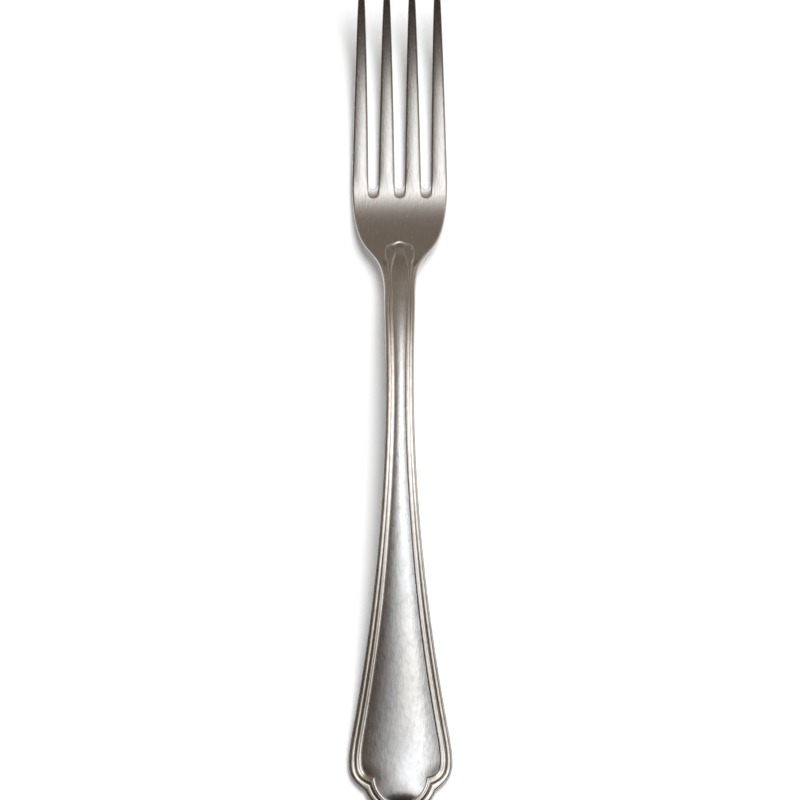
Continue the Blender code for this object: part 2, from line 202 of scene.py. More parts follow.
class ForkRelief(PropertyGroup):
    """Threads, crowned panel, tongue and edges on the upper face."""
    stem_border: size("Stem Border", 1.85, "Edge to panel at the stem, both threads together")
    handle_border: size("Handle Border", 2.62, "Edge to panel at the shoulders")
    tongue_thread: size("Tongue Thread", 0.16, "Height of a thread over its grooves on the tongue")
    stem_thread: size("Stem Thread", 0.075, "Height of a thread over its grooves on the stem")
    handle_thread: size("Handle Thread", 0.16, "Height of a thread over its grooves at the shoulders")
    border_fall: share("Border Fall", 0.09, "Slope of the threads towards the edge at the shoulders")
    crown: share("Crown", 0.13, "Height of the handle panel's crown over its half width")
    stem_crown: share("Stem Crown", 0.11, "Height of the stem panel's crown over its half width")
    tine_crown: size("Tine Crown", 0.18, "Height of a tine's crown")
    tongue_gap: size("Tongue Gap", 0.55, "Palm cut down to the top of the tongue")
    tongue_width: size("Tongue Width", 6.24, "Width of the raised tongue")
    tongue_arch: size("Tongue Arch", 1.8, "Height of the tongue's round top")
    tongue_lip: size("Tongue Lip", 0.105, "Height of the lip along the tongue's round top")
    tongue_waist_place: size("Tongue Waist Place", 5.83, "Top of the tongue down to where it is a thread")
    tongue_length: size("Tongue Length", 5.0, "Top of the tongue down to the start of the outer thread")
    bottle_width: size("Bottle Width", 1.56, "Panel at the top of the tongue")
    bottle_arch: size("Bottle Arch", 0.85, "Height of the panel's round top")
    bottle_belly: size("Bottle Belly", 3.2, "Widest place of the panel on the tongue")
    bottle_belly_place: size("Bottle Belly Place", 5.83, "Top of the tongue down to the belly")
    palm_edge: size("Palm Edge", 0.48, "Width of the worn edge at palm and tines")
    neck_edge: size("Neck Edge", 0.75, "Width of the worn edge at the shoulders of the neck")
    stem_edge: size("Stem Edge", 0.27, "Width of the worn edge at stem and handle")
    edge_fall: share("Edge Fall", 0.55, "Depth of a worn edge over its width")
    neck_fall: share("Neck Fall", 1.1, "Depth of the worn edge over its width at the neck")


class ForkFinish(PropertyGroup):
    """Colours and gloss of the worn metal."""
    steel: tint("Steel", (0.685, 0.687, 0.70), "Worn metal of the handle")
    head_steel: tint("Head Steel", (0.648, 0.637, 0.624), "Worn metal of palm and tines")
    warm_steel: tint("Warm Steel", (0.665, 0.62, 0.565), "Worn metal of the threads")
    # Colour of the grooves: partly tarnish, partly painted shade of the deep grooves.
    tarnish_and_shade: tint("Tarnish", (0.30, 0.27, 0.235), "Dull metal in the grooves")
    speck: tint("Specks", (0.34, 0.33, 0.325), "Small dull specks")
    gloss: share("Roughness", 0.15, "Roughness of the rubbed places")
    satin: share("Satin", 0.07, "Roughness that palm and tines have more than the handle")
    head_hair: share("Head Hairlines", 2.2, "Height of the hairlines on palm and tines over the handle's")
    head_dents: share("Head Dents", 0.12, "Height of the dents on palm and tines over the handle's")
    dull: share("Dull Roughness", 0.21, "Roughness of the dull places")


class ForkStage(PropertyGroup):
    """Floor, light and camera."""
    floor: tint("Floor", (0.95, 0.95, 0.95), "Pale floor")
    key: share("Key Light", 2.86, "Strength of the wide lamp")
    room_front: tint("Room Front", (0.022, 0.006, 0.002), "Dim room on the handle's side")
    room_back: tint("Room Back", (0.172, 0.131, 0.096), "Dim room on the tines' side")
    window: tint("Window", (1.0, 1.0, 1.0), "Tint of the soft window that the metal reflects")
    horizon: tint("Horizon", (0.22, 0.208, 0.198), "Paler walls low around the fork")
    spill: share("Room Spill", 0.45, "Share of the room's light that falls on the floor")
    floor_glow: share("Floor Glow", 0.13, "White added to the floor where the camera or the metal sees it")
    distance: size("Camera Distance", 2000.0, "Height of the camera over the floor")
    field: size("Field", 169.36, "Width of the photograph on the floor")
    aim: size("Aim", 0.275, "How far the middle of the view lies towards the tips")


def cubic(start, pull, counter, end, t):
    """Cubic Bezier curve from start to end with its two pulls, one row for each t."""
    t = np.asarray(t)[:, None]
    start, pull, counter, end = (np.asarray(p) for p in (start, pull, counter, end))
    return (1 - t) ** 3 * start + 3 * (1 - t) ** 2 * t * pull + 3 * (1 - t) * t ** 2 * counter + t ** 3 * end


def level_curve(start, end, pulls):
    """Bezier curve of (along, across) that is level at both ends, with pulls as shares of its length."""
    run = end[0] - start[0]
    return start, (start[0] + pulls[0] * run, start[1]), (end[0] - pulls[1] * run, end[1]), end


def chain(curves):
    """Curves joined into one table with rising places, for reading with np.interp."""
    rows = np.concatenate([cubic(*curve, np.linspace(0.0, 1.0, CURVE_POINTS)) for curve in curves])
    rows = rows[np.argsort(rows[:, 0], kind="stable")]
    return rows[:, 0], rows[:, 1]


def smooth_path(y, places, values):
    """Cubic line through a few values, with slopes from their neighbours, flat past both ends."""
    order = np.argsort(places)
    places = np.array(places)[order]
    values = np.array(values)[order]
    slopes = np.gradient(values, places)
    y = np.clip(y, places[0], places[-1])
    i = np.clip(np.searchsorted(places, y) - 1, 0, len(places) - 2)
    span = places[i + 1] - places[i]
    t = (y - places[i]) / span
    start = (1 + 2 * t) * (1 - t) ** 2 * values[i] + t * (1 - t) ** 2 * span * slopes[i]
    end = t * t * (3 - 2 * t) * values[i + 1] - t * t * (1 - t) * span * slopes[i + 1]
    return start + end


def ease(way):
    """Smooth step from 0 to 1, level at both ends and flat past them."""
    way = np.clip(way, 0.0, 1.0)
    return way * way * (3.0 - 2.0 * way)


def bell(distance, width):
    """One at no distance, falling off as the exponential of minus the square of distance over width."""
    return np.exp(-(distance / width) ** 2)


def flank_rise(distance, flank):
    """Flank of a thread: one minus an exponential of the distance from its foot."""
    return 1.0 - np.exp(-np.maximum(distance, 0.0) / flank)


def bead(inner, outer, soft=1.0, flank=FLANK):
    """Cross-section of a thread, from the distances to its two feet.

    Three quarters of it is a flat band between two flanks, and one quarter is an arch over the whole
    width. soft widens the second flank.
    """
    inner, outer = np.maximum(inner, 0.0), np.maximum(outer, 0.0)
    band = flank_rise(inner, flank) * flank_rise(outer, soft * flank)
    way = (inner - outer) / np.maximum(inner + outer, 1e-9)
    return np.where((inner > 0.0) & (outer > 0.0), 0.75 * band + 0.25 * (1.0 - way ** 2), 0.0)


def beads(f, split, width, parted, fine):
    """Two threads side by side, where f runs from their outer foot (0) to the panel's edge (1).

    split is the place of the groove between them, and width is their width together. parted is the
    depth of that groove: at 0 the threads are one band, at 1 the groove is as deep as they are high.
    fine is the depth of a bell-shaped line cut along the middle of the inner thread.
    """
    outer = bead(f * width, (split - f) * width)
    inner = bead((f - split) * width, (1.0 - f) * width)
    one = bead(f * width, (1.0 - f) * width)
    line = bell((f - 0.5 - 0.5 * split) * width, FINE_BELL)
    return parted * np.where(f < split, outer, inner) + (1.0 - parted) * one - fine * line


def groove_marks(f, split, width, parted):
    """Marks of the grooves: a bell at both feet and between the threads, weaker at the panel."""
    foot, between, panel = (bell((f - place) * width, GROOVE_BELL) for place in (0.0, split, 1.0))
    return foot + parted * between + 0.5 * panel


def across(count):
    """Shares from 0 to 1 with one more just before the end, so a sharp valley stays narrow."""
    return np.concatenate([np.linspace(0.0, 1.0, count)[:-1], [LAST_SHARE, 1.0]])[None, :]


def worn_drop(distance, width, fall=1.0):
    """Fall of a worn edge: a quarter ellipse from the outline in, fall times as deep as wide."""
    away = np.clip(1.0 - distance / width, 0.0, 1.0)
    return fall * width * (1.0 - np.sqrt(1.0 - away ** 2))


def spaced(start, end, step):
    """Places from start to end about one step apart, with one more just inside each end."""
    places = np.linspace(start, end, max(3, int(round(abs(end - start) / step)) + 1))
    nudge = math.copysign(NUDGE, end - start)
    return np.concatenate([[start, start + nudge], places[1:-1], [end - nudge, end]])


class ForkForm:
    """Places, outlines and heights of the fork, worked out from its sizes.

    flare is the slope of the handle's edge at the shoulders. The pulls are the reaches of a Bezier
    curve's two handles, as shares of the curve's length.
    """
    flare = 0.185
    palm_pulls = (0.8, 0.56)
    neck_pulls = (0.17, 0.46)
    handle_pulls = (0.29, 0.37)
    arch_pulls = (0.17, 0.785)
    heel_pulls = (0.45, 0.19)

    def __init__(self, scene):
        plan, side, relief = scene.fork_plan, scene.fork_side, scene.fork_relief
        self.plan, self.side, self.relief = plan, side, relief
        self.tip = plan.fork_length / 2
        self.end = -self.tip
        self.slot = self.tip - plan.tine_length
        self.tine_cut = self.slot + plan.slot_lead
        self.palm_cut = self.slot - plan.palm_length
        self.neck_cut = self.palm_cut - plan.neck_length
        self.stem_cut = self.neck_cut - plan.stem_length
        self.handle_cut = self.end + plan.end_length
        self.neck = self.palm_cut - plan.neck_place
        self.waist = self.palm_cut - plan.waist_place
        self.lobe = self.end + plan.lobe_radius
        self.tongue = self.palm_cut - relief.tongue_gap
        self.arch = self.tongue - relief.tongue_arch
        self.foot = self.tongue - relief.tongue_length
        self.pitch = (plan.palm_width - plan.tine_root_width) / (len(TINES) - 1)
        self.slot_half = (self.pitch - plan.tine_root_width) / 2
        self.outline = chain(self.outline_curves())
        self.back_line = chain(self.back_curves())

    def outline_curves(self):
        """Outer edge from the palm to the shoulders: three Bezier curves of (along, half width)."""
        plan = self.plan
        palm = (self.tine_cut, plan.palm_width / 2)
        neck = (self.neck, plan.neck_width / 2)
        waist = (self.waist, plan.stem_width / 2)
        shoulder = (self.handle_cut, plan.handle_width / 2)
        length = waist[0] - shoulder[0]
        reach, run = (pull * length for pull in self.handle_pulls)
        return [
            level_curve(palm, neck, self.palm_pulls),
            level_curve(neck, waist, self.neck_pulls),
            (waist, (waist[0] - reach, waist[1]),
             (shoulder[0] + run, shoulder[1] - self.flare * run), shoulder),
        ]

    def back_curves(self):
        """Middle of the back in side view: three Bezier curves of (along, height)."""
        side = self.side
        tip = (self.tip, side.tip_rise)
        belly = (self.slot + side.belly_place, 0.0)
        top = (self.palm_cut - side.arch_place, side.arch_rise)
        heel = (self.end + side.heel_place, 0.0)
        third = (tip[0] - belly[0]) / 3
        return [
            (tip, (tip[0] - third, tip[1] - side.tip_slope * third), (belly[0] + third, 0.0), belly),
            level_curve(belly, top, self.arch_pulls),
            level_curve(top, heel, self.heel_pulls),
        ]

    def half_width(self, y):
        """Half width of the outline below the tines."""
        return np.interp(y, *self.outline)

    def slot_middle(self, x):
        """Middle line of the slot nearest to each x."""
        return np.clip(np.round(x / self.pitch), -1, 1) * self.pitch

    def tine_crown(self, y):
        """Height of a full-width tine's arch: none at the slot end, then easing in."""
        return self.relief.tine_crown * ease((y - self.slot - CROWN_START) / CROWN_REACH)

    def back(self, y):
        """Height of the middle of the back, before the flats are cut."""
        return np.interp(y, *self.back_line) - self.side.rest_cut

    def thickness(self, y):
        """Thickness in the middle, through one value at each cut and end."""
        side = self.side
        places = [self.tip, self.tine_cut, self.palm_cut, self.neck_cut,
                  self.stem_cut, self.handle_cut, self.end]
        return smooth_path(y, places, [side.tip_thick, side.root_thick, side.palm_thick, side.neck_thick,
                                       side.stem_thick, side.handle_thick, side.end_thick])

    def back_round(self, y):
        """Rise of the back from its middle to its edges; none at the tines."""
        side = self.side
        places = [self.tine_cut, self.palm_cut, self.neck_cut, self.stem_cut, self.handle_cut]
        return smooth_path(y, places, [0.0, side.palm_back, side.stem_back, side.stem_back, side.handle_back])

    def face(self, y):
        """Height of the upper face's plain middle."""
        return self.back(y) + self.thickness(y)

    def edge(self, y):
        """Width of the worn edge: wide at the shoulders of the neck, narrow along the handle."""
        relief = self.relief
        middle = 0.5 * (self.foot + self.neck_cut)
        places = [self.tine_cut, self.palm_cut, self.foot, middle, self.neck_cut, self.waist]
        return smooth_path(y, places, [relief.palm_edge, 0.7 * relief.neck_edge, relief.neck_edge,
                                       0.6 * relief.neck_edge, 1.3 * relief.stem_edge, relief.stem_edge])

    def edge_fall(self, y):
        """Depth of the worn edge over its width: deepest at the neck."""
        relief = self.relief
        places = [self.tine_cut, self.palm_cut, self.foot, self.neck_cut, self.waist]
        return smooth_path(y, places, [relief.edge_fall, relief.neck_fall, relief.neck_fall,
                                       relief.neck_fall, relief.edge_fall])

    def border(self, y):
        """Width from the outline to the panel: slim on the stem, wide at the shoulders."""
        slim, wide = self.relief.stem_border, self.relief.handle_border
        middle = 0.5 * (self.stem_cut + self.handle_cut)
        return smooth_path(y, [self.waist, self.stem_cut, middle, self.handle_cut],
                           [slim, slim + 0.25 * (wide - slim), slim + 0.73 * (wide - slim), wide])

    def split(self, y):
        """Place of the groove between the threads: near half-way on the stem, then further out."""
        return smooth_path(y, [self.waist, self.stem_cut, self.handle_cut], [0.45, 0.44, 0.42])

    def fine(self, y):
        """Depth of the line along the inner thread over the thread's height: none on the stem."""
        return smooth_path(y, [self.stem_cut, 0.5 * (self.stem_cut + self.handle_cut)], [0.0, 0.12])

    def thread(self, y):
        """Height of the threads: low on the stem, higher on the tongue and at the shoulders."""
        relief = self.relief
        middle = relief.stem_thread + 0.35 * (relief.handle_thread - relief.stem_thread)
        places = [self.arch, self.foot, self.neck_cut, self.waist, self.stem_cut, self.handle_cut]
        return smooth_path(y, places, [relief.tongue_thread, relief.tongue_thread, relief.stem_thread,
                                       relief.stem_thread, middle, relief.handle_thread])

    def crown(self, y):
        """Height of the panel's crown over its half width."""
        stem, handle = self.relief.stem_crown, self.relief.crown
        places = [self.waist, self.stem_cut, self.handle_cut]
        return smooth_path(y, places, [stem, 0.5 * (stem + handle), handle])

    def parted(self, y):
        """Depth of the groove between the threads over their height: faint on the stem."""
        places = [self.neck_cut, self.waist, self.stem_cut, 0.5 * (self.stem_cut + self.handle_cut)]
        return smooth_path(y, places, [0.3, 0.2, 0.5, 1.0])

    def border_fall(self, y):
        """Slope of the threads towards the edge: none on the stem, most at the shoulders."""
        fall = self.relief.border_fall
        return smooth_path(y, [self.waist, self.stem_cut, self.handle_cut], [0.0, 0.2 * fall, fall])

    def thread_line(self, y):
        """Half width of the line between the threads where they run side by side."""
        panel = self.panel(y)
        return panel + (1.0 - self.split(y)) * (self.half_width(y) - self.edge(y) - panel)

    def groove(self, y):
        """Half width of the line between the threads, which spreads to the tongue's sides at the top."""
        waist = self.tongue - self.relief.tongue_waist_place
        narrow, wide = self.thread_line(waist), self.relief.tongue_width / 2
        places = [waist, waist + 0.85 * MM, waist + 1.7 * MM, waist + 2.5 * MM, self.arch]
        side = smooth_path(y, places, narrow + (wide - narrow) * np.array((0.0, 0.15, 0.77, 1.0, 1.0)))
        return np.where(y < waist, self.thread_line(y), side)

    def panel(self, y):
        """Half width of the crowned panel, bottle-shaped on the tongue."""
        relief = self.relief
        inset = self.half_width(y) - self.border(y)
        low = self.foot - 3.7 * MM
        foot = float(self.half_width(low) - self.border(low))
        belly = self.tongue - relief.bottle_belly_place
        wide, narrow = relief.bottle_belly / 2, relief.bottle_width / 2
        places = [low, belly, belly + 1.7 * MM, belly + 2.5 * MM, belly + 3.4 * MM, self.arch]
        bottle = smooth_path(y, places, [foot, wide, narrow + 0.54 * (wide - narrow),
                                         narrow + 0.21 * (wide - narrow), narrow, narrow])
        return np.where(y < low, inset, bottle)


def back_half(form, edge, spine, parts=16):
    """Columns of the back from its worn lower edge in to the middle.

    The height is the middle line plus the back's rise times the square of the way out. The lower
    edge is a quarter circle, and the flats are where the height would fall below the table.
    """
    reach = np.linalg.norm(edge - spine, axis=1)[:, None]
    turn = np.linspace(0.0, math.pi / 2, 7)[None, :]
    low = 1.0 - LOWER_EDGE / reach
    rounding = 1.0 - LOWER_EDGE / reach * (1.0 - np.cos(turn))
    out = np.concatenate([rounding, low * np.linspace(1.0, 0.0, parts)[None, 1:]], axis=1)
    lift = np.concatenate([LOWER_EDGE * (1.0 - np.sin(turn)), np.zeros((1, parts - 1))], axis=1)
    place = spine[:, None, :] + (edge - spine)[:, None, :] * out[:, :, None]
    y = place[:, :, 1]
    z = form.back(y) + form.back_round(y) * np.minimum(out, low) ** 2 + lift
    return np.concatenate([place, np.maximum(z, 0.0)[:, :, None]], axis=2)


def whole_rings(half, marks):
    """Closed rings from right halves that run from the middle of the face to the middle of the back."""
    left = half[:, -2:0:-1] * np.array((-1.0, 1.0, 1.0))
    rings = np.concatenate([half, left, half[:, :1]], axis=1)
    return rings, np.concatenate([marks, marks[:, -2:0:-1], marks[:, :1]], axis=1)


def quads(index):
    """Four-sided faces of a grid, from the numbers of its points."""
    corners = [index[:-1, :-1], index[:-1, 1:], index[1:, 1:], index[1:, :-1]]
    return np.stack(corners, axis=-1).reshape(-1, 4)


def closed_mesh(name, sheets, marks):
    """One closed mesh from grids of points: equal points are merged and open ends get flat caps."""
    points, faces, start = [], [], 0
    for sheet in sheets:
        rows, cols = sheet.shape[:2]
        faces.append(quads(start + np.arange(rows * cols).reshape(rows, cols)))
        points.append(sheet.reshape(-1, 3))
        start += rows * cols
    mesh = bpy.data.meshes.new(name)
    mesh.from_pydata(np.concatenate(points).tolist(), [], np.concatenate(faces).tolist())
    for channel, mark_name in enumerate(("groove", "border")):
        values = np.concatenate([mark[..., channel].ravel() for mark in marks])
        attribute = mesh.attributes.new(mark_name, "FLOAT", "POINT")
        attribute.data.foreach_set("value", values.astype(np.float32))
    shape = bmesh.new()
    shape.from_mesh(mesh)
    bmesh.ops.remove_doubles(shape, verts=shape.verts, dist=WELD)
    bmesh.ops.dissolve_degenerate(shape, edges=shape.edges, dist=WELD)
    open_edges = [edge for edge in shape.edges if edge.is_boundary]
    caps = bmesh.ops.holes_fill(shape, edges=open_edges, sides=0)["faces"] if open_edges else []
    for face in shape.faces:
        face.smooth = True
    for cap in caps:
        cap.smooth = False
        for edge in cap.edges:
            edge.smooth = False
    bmesh.ops.recalc_face_normals(shape, faces=shape.faces)
    if shape.calc_volume(signed=True) < 0.0:
        bmesh.ops.reverse_faces(shape, faces=shape.faces)
    loose = [edge for edge in shape.edges if not edge.is_manifold]
    if loose:
        raise RuntimeError(f"{name} has {len(loose)} open edges")
    shape.to_mesh(mesh)
    shape.free()
    return mesh


def add_piece(context, node, sheets, marks):
    """Puts the surface for one CAD node into the scene, riding on the fork."""
    mesh = closed_mesh(node + "_surface", sheets, marks)
    mesh.materials.append(worn_steel(context.scene.fork_finish))
    piece = bpy.data.objects.new(node + "_surface", mesh)
    context.scene.collection.objects.link(piece)
    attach(piece, "root")
    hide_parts(node)
    return piece


def tine_rings(form, place):
    """Rings round one tine, from its root to its tip.

    The width falls from root to tip as a power of the way to the tip. Across, the face is a shallow
    arch with worn edges and the back is flat with round edges. The tip is closed by shrinking the
    rings as a quarter ellipse.
    """
    plan, relief = form.plan, form.relief
    shift = place - (len(TINES) - 1) / 2
    along = spaced(form.tine_cut, form.tip - plan.tip_round, 0.6 * MM)
    turn = np.linspace(0.0, math.pi / 2, 14)[1:]
    y = np.concatenate([along, form.tip - plan.tip_round * (1.0 - np.sin(turn))])[:, None]
    scale = np.concatenate([np.ones(len(along)), np.cos(turn)])[:, None]
    scale[-1] = 0.0
    run = np.clip((form.tip - y) / (form.tip - form.tine_cut), 0.0, 1.0)
    half = (plan.tine_tip_width + (plan.tine_root_width - plan.tine_tip_width) * run ** plan.tine_taper) / 2
    middle = shift * (plan.tip_pitch + (form.pitch - plan.tip_pitch) * run)
    edge = np.minimum(relief.palm_edge, 0.5 * half)
    u = -np.cos(math.pi * np.linspace(0.0, 1.0, 41))[None, :]
    thick = form.thickness(y)
    arch = form.tine_crown(y) * (half / (plan.tine_root_width / 2)) * (1.0 - u ** 2)
    top = thick + arch - worn_drop(half * (1.0 - np.abs(u)), edge, relief.edge_fall)
    bottom = worn_drop(half * (1.0 - np.abs(u)), np.minimum(edge, LOWER_EDGE))
    inside = WALL_SHARES[None, 1:-1]
    right = top[:, -1:] + (bottom[:, -1:] - top[:, -1:]) * inside
    wall = np.repeat(half, inside.shape[1], 1)
    x = np.concatenate([half * u, wall, half * u[:, ::-1], -wall, -half], axis=1)
    height = np.concatenate([top, right, bottom[:, ::-1], right[:, ::-1], top[:, :1]], axis=1)
    z = form.back(y) + 0.5 * thick + (height - 0.5 * thick) * scale
    rings = np.stack([middle + x * scale, np.broadcast_to(y, z.shape), np.maximum(z, 0.0)], axis=-1)
    return rings, np.zeros((*z.shape, 2))


def slot_half_width(form, y, low, radius):
    """Half width of a slot: a half circle at its end, then easing to the width between the tines."""
    rise = np.clip((y - low) / radius, 0.0, 1.0)
    round_end = radius * np.sqrt(1.0 - (1.0 - rise) ** 2)
    spread = ease((y - low - radius) / (form.tine_cut - low - radius))
    return np.where(y < low + radius, round_end, radius + (form.slot_half - radius) * spread)


def palm_grid(form, place, rows, slot_end, tau, u):
    """X and Y of one strip of the palm, over the way along and the way across."""
    low, radius = slot_end
    below = form.palm_cut + (rows - form.palm_cut) * (low - form.palm_cut) / (form.slot - form.palm_cut)
    y = np.concatenate([below, low + (form.tine_cut - low) * tau])[:, None]
    gap = np.where(y < low, 0.0, slot_half_width(form, y, low, radius))
    rim = form.half_width(y)
    left = -rim if place == 0 else (place - 2) * form.pitch + gap
    right = rim if place == len(TINES) - 1 else (place - 1) * form.pitch - gap
    return left + (right - left) * u, np.broadcast_to(y, (len(y), u.shape[1]))


def palm_top(form, x, y, u, slot_end):
    """Face of the palm: the fading arch of a tine, falling off at the outline and at the slot."""
    relief = form.relief
    arch = form.tine_crown(y) * 4.0 * u * (1.0 - u)
    z = form.face(y) + arch - worn_drop(form.half_width(y) - np.abs(x), form.edge(y), form.edge_fall(y))
    sharp = np.clip((y - form.slot) / (2.4 * MM), 0.05, 1.0)
    way = np.clip((y - form.slot) / (form.tine_cut - form.slot), 0.0, 1.0)
    slot_edge = relief.palm_edge * (0.6 + 0.4 * way ** 2)
    return z - worn_drop(slot_distance(form, x, y, *slot_end), slot_edge, sharp * relief.edge_fall)


def palm_bottom(form, x, y, slot_end):
    """Back of the palm, with round edges and the flat that the fork rests on."""
    z = form.back(y) + form.back_round(y) * (x / form.half_width(y)) ** 2
    z = z + worn_drop(form.half_width(y) - np.abs(x), LOWER_EDGE)
    return np.maximum(z + worn_drop(slot_distance(form, x, y, *slot_end), LOWER_EDGE), 0.0)


def palm_sheets(form):
    """The palm as four strips, one below each tine, joined below the slots.

    Each strip is a grid over the way along and the way across. Its sides run down the middle of
    the slots and part along the round slot ends. The wall between the slot's end on the face and
    its end on the back is the scoop.
    """
    plan = form.plan
    upper = (form.slot, form.slot_half + plan.scoop_flare)
    lower = (form.slot + plan.slot_scoop, form.slot_half)
    tau = np.linspace(0.0, 1.0, 40) ** 2
    tau = np.concatenate([tau[:-1], [1.0 - NUDGE / plan.slot_lead, 1.0]])
    u = (1.0 - np.cos(math.pi * np.linspace(0.0, 1.0, 45)))[None, :] / 2
    rows = spaced(form.palm_cut, form.slot, 0.2 * MM)[:-1]
    sheets = []
    for place in range(len(TINES)):
        x, y = palm_grid(form, place, rows, upper, tau, u)
        top = np.stack([x, y, palm_top(form, x, y, u, upper)], axis=-1)
        x, y = palm_grid(form, place, rows, lower, tau, u)
        bottom = np.stack([x, y, palm_bottom(form, x, y, lower)], axis=-1)
        sheets += [top, bottom[:, ::-1]]
        for side in (0, -1):
            if (place, side) in ((0, 0), (len(TINES) - 1, -1)):
                wall = upright(top[:, side], bottom[:, side])
            else:
                wall = scoop_wall(form, top[len(rows):, side], bottom[len(rows):, side])
            sheets.append(wall if side else wall[:, ::-1])
    return sheets, [np.zeros((*sheet.shape[:2], 2)) for sheet in sheets]


def scoop_wall(form, rim, low):
    """Rows from a slot's rim on the face to its edge on the back: a trough, then an upright edge.

    Over the first small share of the way the surface comes down from the rim to the trough, unless the rim
    lies lower. The trough's depth grows along the slot as one minus the square of the way to go,
    counted from a line that bends up at the sides like the slot's round end, but less.
    """
    plan = form.plan
    rim, low = rim[:, None], low[:, None]
    lead = np.linspace(0.0, SCOOP_LEAD, 6)
    way = np.concatenate([lead, np.linspace(SCOOP_LEAD, 1.0, 24)[1:]])[None, :]
    place = rim[:, :, :2] + (low - rim)[:, :, :2] * way[:, :, None]
    x, y = place[:, :, 0], place[:, :, 1]
    half = form.slot_half + plan.scoop_flare
    off = np.clip((x - form.slot_middle(x)) / half, -1.0, 1.0)
    bend = SCOOP_BEND * half * (1.0 - np.sqrt(1.0 - off ** 2))
    to_go = 1.0 - np.clip((y - form.slot - bend) / plan.slot_scoop, 0.0, 1.0)
    trough = form.face(y) - plan.ledge * form.thickness(y) * (1.0 - to_go ** 2)
    z = rim[:, :, 2] + np.minimum(trough - rim[:, :, 2], 0.0) * np.clip(way / SCOOP_LEAD, 0.0, 1.0)
    floor = np.concatenate([place, z[:, :, None]], axis=2)
    return np.concatenate([floor, upright(floor[:, -1], low[:, 0])[:, 1:]], axis=1)


def upright(high, low):
    """Rows straight from the upper points to the lower ones."""
    return high[:, None] + (low - high)[:, None] * WALL_SHARES[None, :, None]


def slot_distance(form, x, y, low, radius):
    """Distance in plan from the nearest slot's outline."""
    off = np.abs(x - form.slot_middle(x))
    centre = low + radius
    round_end = np.hypot(off, y - centre) - radius
    return np.maximum(np.where(y < centre, round_end, off - slot_half_width(form, y, low, radius)), 0.0)


def neck_rings(form):
    """Rings round the neck, with the raised tongue on its face.

    Columns run from the middle over panel, inner thread and outer thread to the worn edge. The
    tongue is the top of the inner thread, and the outer thread rises beside it at its waist. Tongue
    and panel end in rounded tops, and distances from those count in place of widths. The flanks are
    wider on the tongue than on the stem and sharper again round its top, where a lip runs along it.
    """
    relief = form.relief
    low, high = form.arch - 1.0 * MM, form.tongue + 0.15 * MM
    y = np.concatenate([spaced(form.neck_cut, low, 0.2 * MM)[:-1], np.linspace(low, high, 90),
                        spaced(high, form.palm_cut, 0.1 * MM)[1:]])[:, None]
    lower = np.minimum(y, form.arch)
    rim, edge = form.half_width(y), form.edge(y)
    groove, panel = form.groove(lower), form.panel(lower)
    field = rim - edge
    steps = np.linspace(0.0, 1.0, 61)[None, 1:]
    x = np.concatenate([panel * across(25), panel + (groove - panel) * steps,
                        groove + (field - groove) * steps ** 1.5, field + edge * WORN_SHARES], axis=1)
    over = np.maximum(y - form.arch, 0.0)
    half_tongue, half_bottle = relief.tongue_width / 2, relief.bottle_width / 2
    way_out = (x / half_tongue) ** TONGUE_POWER + (over / relief.tongue_arch) ** TONGUE_POWER
    tongue_top = (1.0 - way_out ** (1.0 / TONGUE_POWER)) * half_tongue
    from_side = np.where(y > form.arch, tongue_top, groove - x)
    bottle_top = (np.hypot(x / half_bottle, over / relief.bottle_arch) - 1.0) * half_bottle
    from_panel = np.where(y > form.arch, bottle_top, x - panel)
    rise = ease((form.foot + 0.8 * MM - y) / (1.6 * MM))
    down = np.clip((form.foot - y) / (form.foot - form.neck_cut), 0.0, 1.0)
    parted = 1.0 + (form.parted(y) - 1.0) * down
    flank = FLANK * (1.6 - 0.6 * down) * (1.0 - 0.6 * over / relief.tongue_arch).clip(0.4, 1.0)
    on_tongue = flank_rise(from_side, flank)
    fill = FILL_SHARE * ease((y - form.arch + FILL_START) / FILL_REACH) * on_tongue
    two = bead(from_side, from_panel, 1.0 + 2.0 * over / relief.bottle_arch, flank)
    two = np.maximum(two, fill) + rise * bead(field - x, x - groove, 1.0, flank)
    one = bead(field - x, x - panel, 1.0, flank)
    threads = form.thread(y) * (parted * two + (1.0 - parted) * one)
    lip = bell(from_side - LIP_PLACE, LIP_WIDTH) * on_tongue
    threads = threads + relief.tongue_lip * np.sqrt(over / relief.tongue_arch) * lip
    round_panel = 1.0 - (x / np.maximum(panel, 1e-9)) ** 2 - (over / relief.bottle_arch) ** 2
    crown = form.crown(y) * panel * np.clip(round_panel, 0.0, 1.0)
    z = form.face(y) + threads + crown - worn_drop(rim - x, edge, form.edge_fall(y))
    near = np.minimum(np.abs(from_side), np.minimum(np.abs(from_panel), np.abs(field - x)))
    marks = np.stack([rise * bell(near, TONGUE_BELL), rise * (x > panel)], axis=-1)
    place = np.stack([x, np.broadcast_to(y, x.shape)], axis=-1)
    return finish_rings(form, place, z, marks, np.concatenate([rim, y], 1))


def finish_rings(form, place, z, marks, edge):
    """Adds the upright wall and the back to rows of the face, and mirrors them to whole rings."""
    top = np.concatenate([place, z[:, :, None]], axis=2)
    spine = top[:, 0, :2] * np.array((0.0, 1.0))
    low = back_half(form, edge, spine)
    parts = WALL_SHARES[None, 1:-1, None]
    wall = top[:, -1:] * (1.0 - parts) + low[:, :1] * parts
    half = np.concatenate([top, wall, low], axis=1)
    quiet = np.zeros((len(half), half.shape[1] - marks.shape[1], 2))
    return whole_rings(half, np.concatenate([marks, quiet], axis=1))


def border_marks(rows, panel, grooves, worn):
    """Marks for rows of panel, threads and worn edge: the grooves, and one outside the panel."""
    quiet = np.zeros((rows, panel.shape[1]))
    lines = np.concatenate([quiet, grooves, np.zeros((rows, worn.shape[1]))], axis=1)
    outside = np.concatenate([quiet, np.ones((rows, grooves.shape[1] + worn.shape[1]))], axis=1)
    return np.stack([lines, outside], axis=-1)


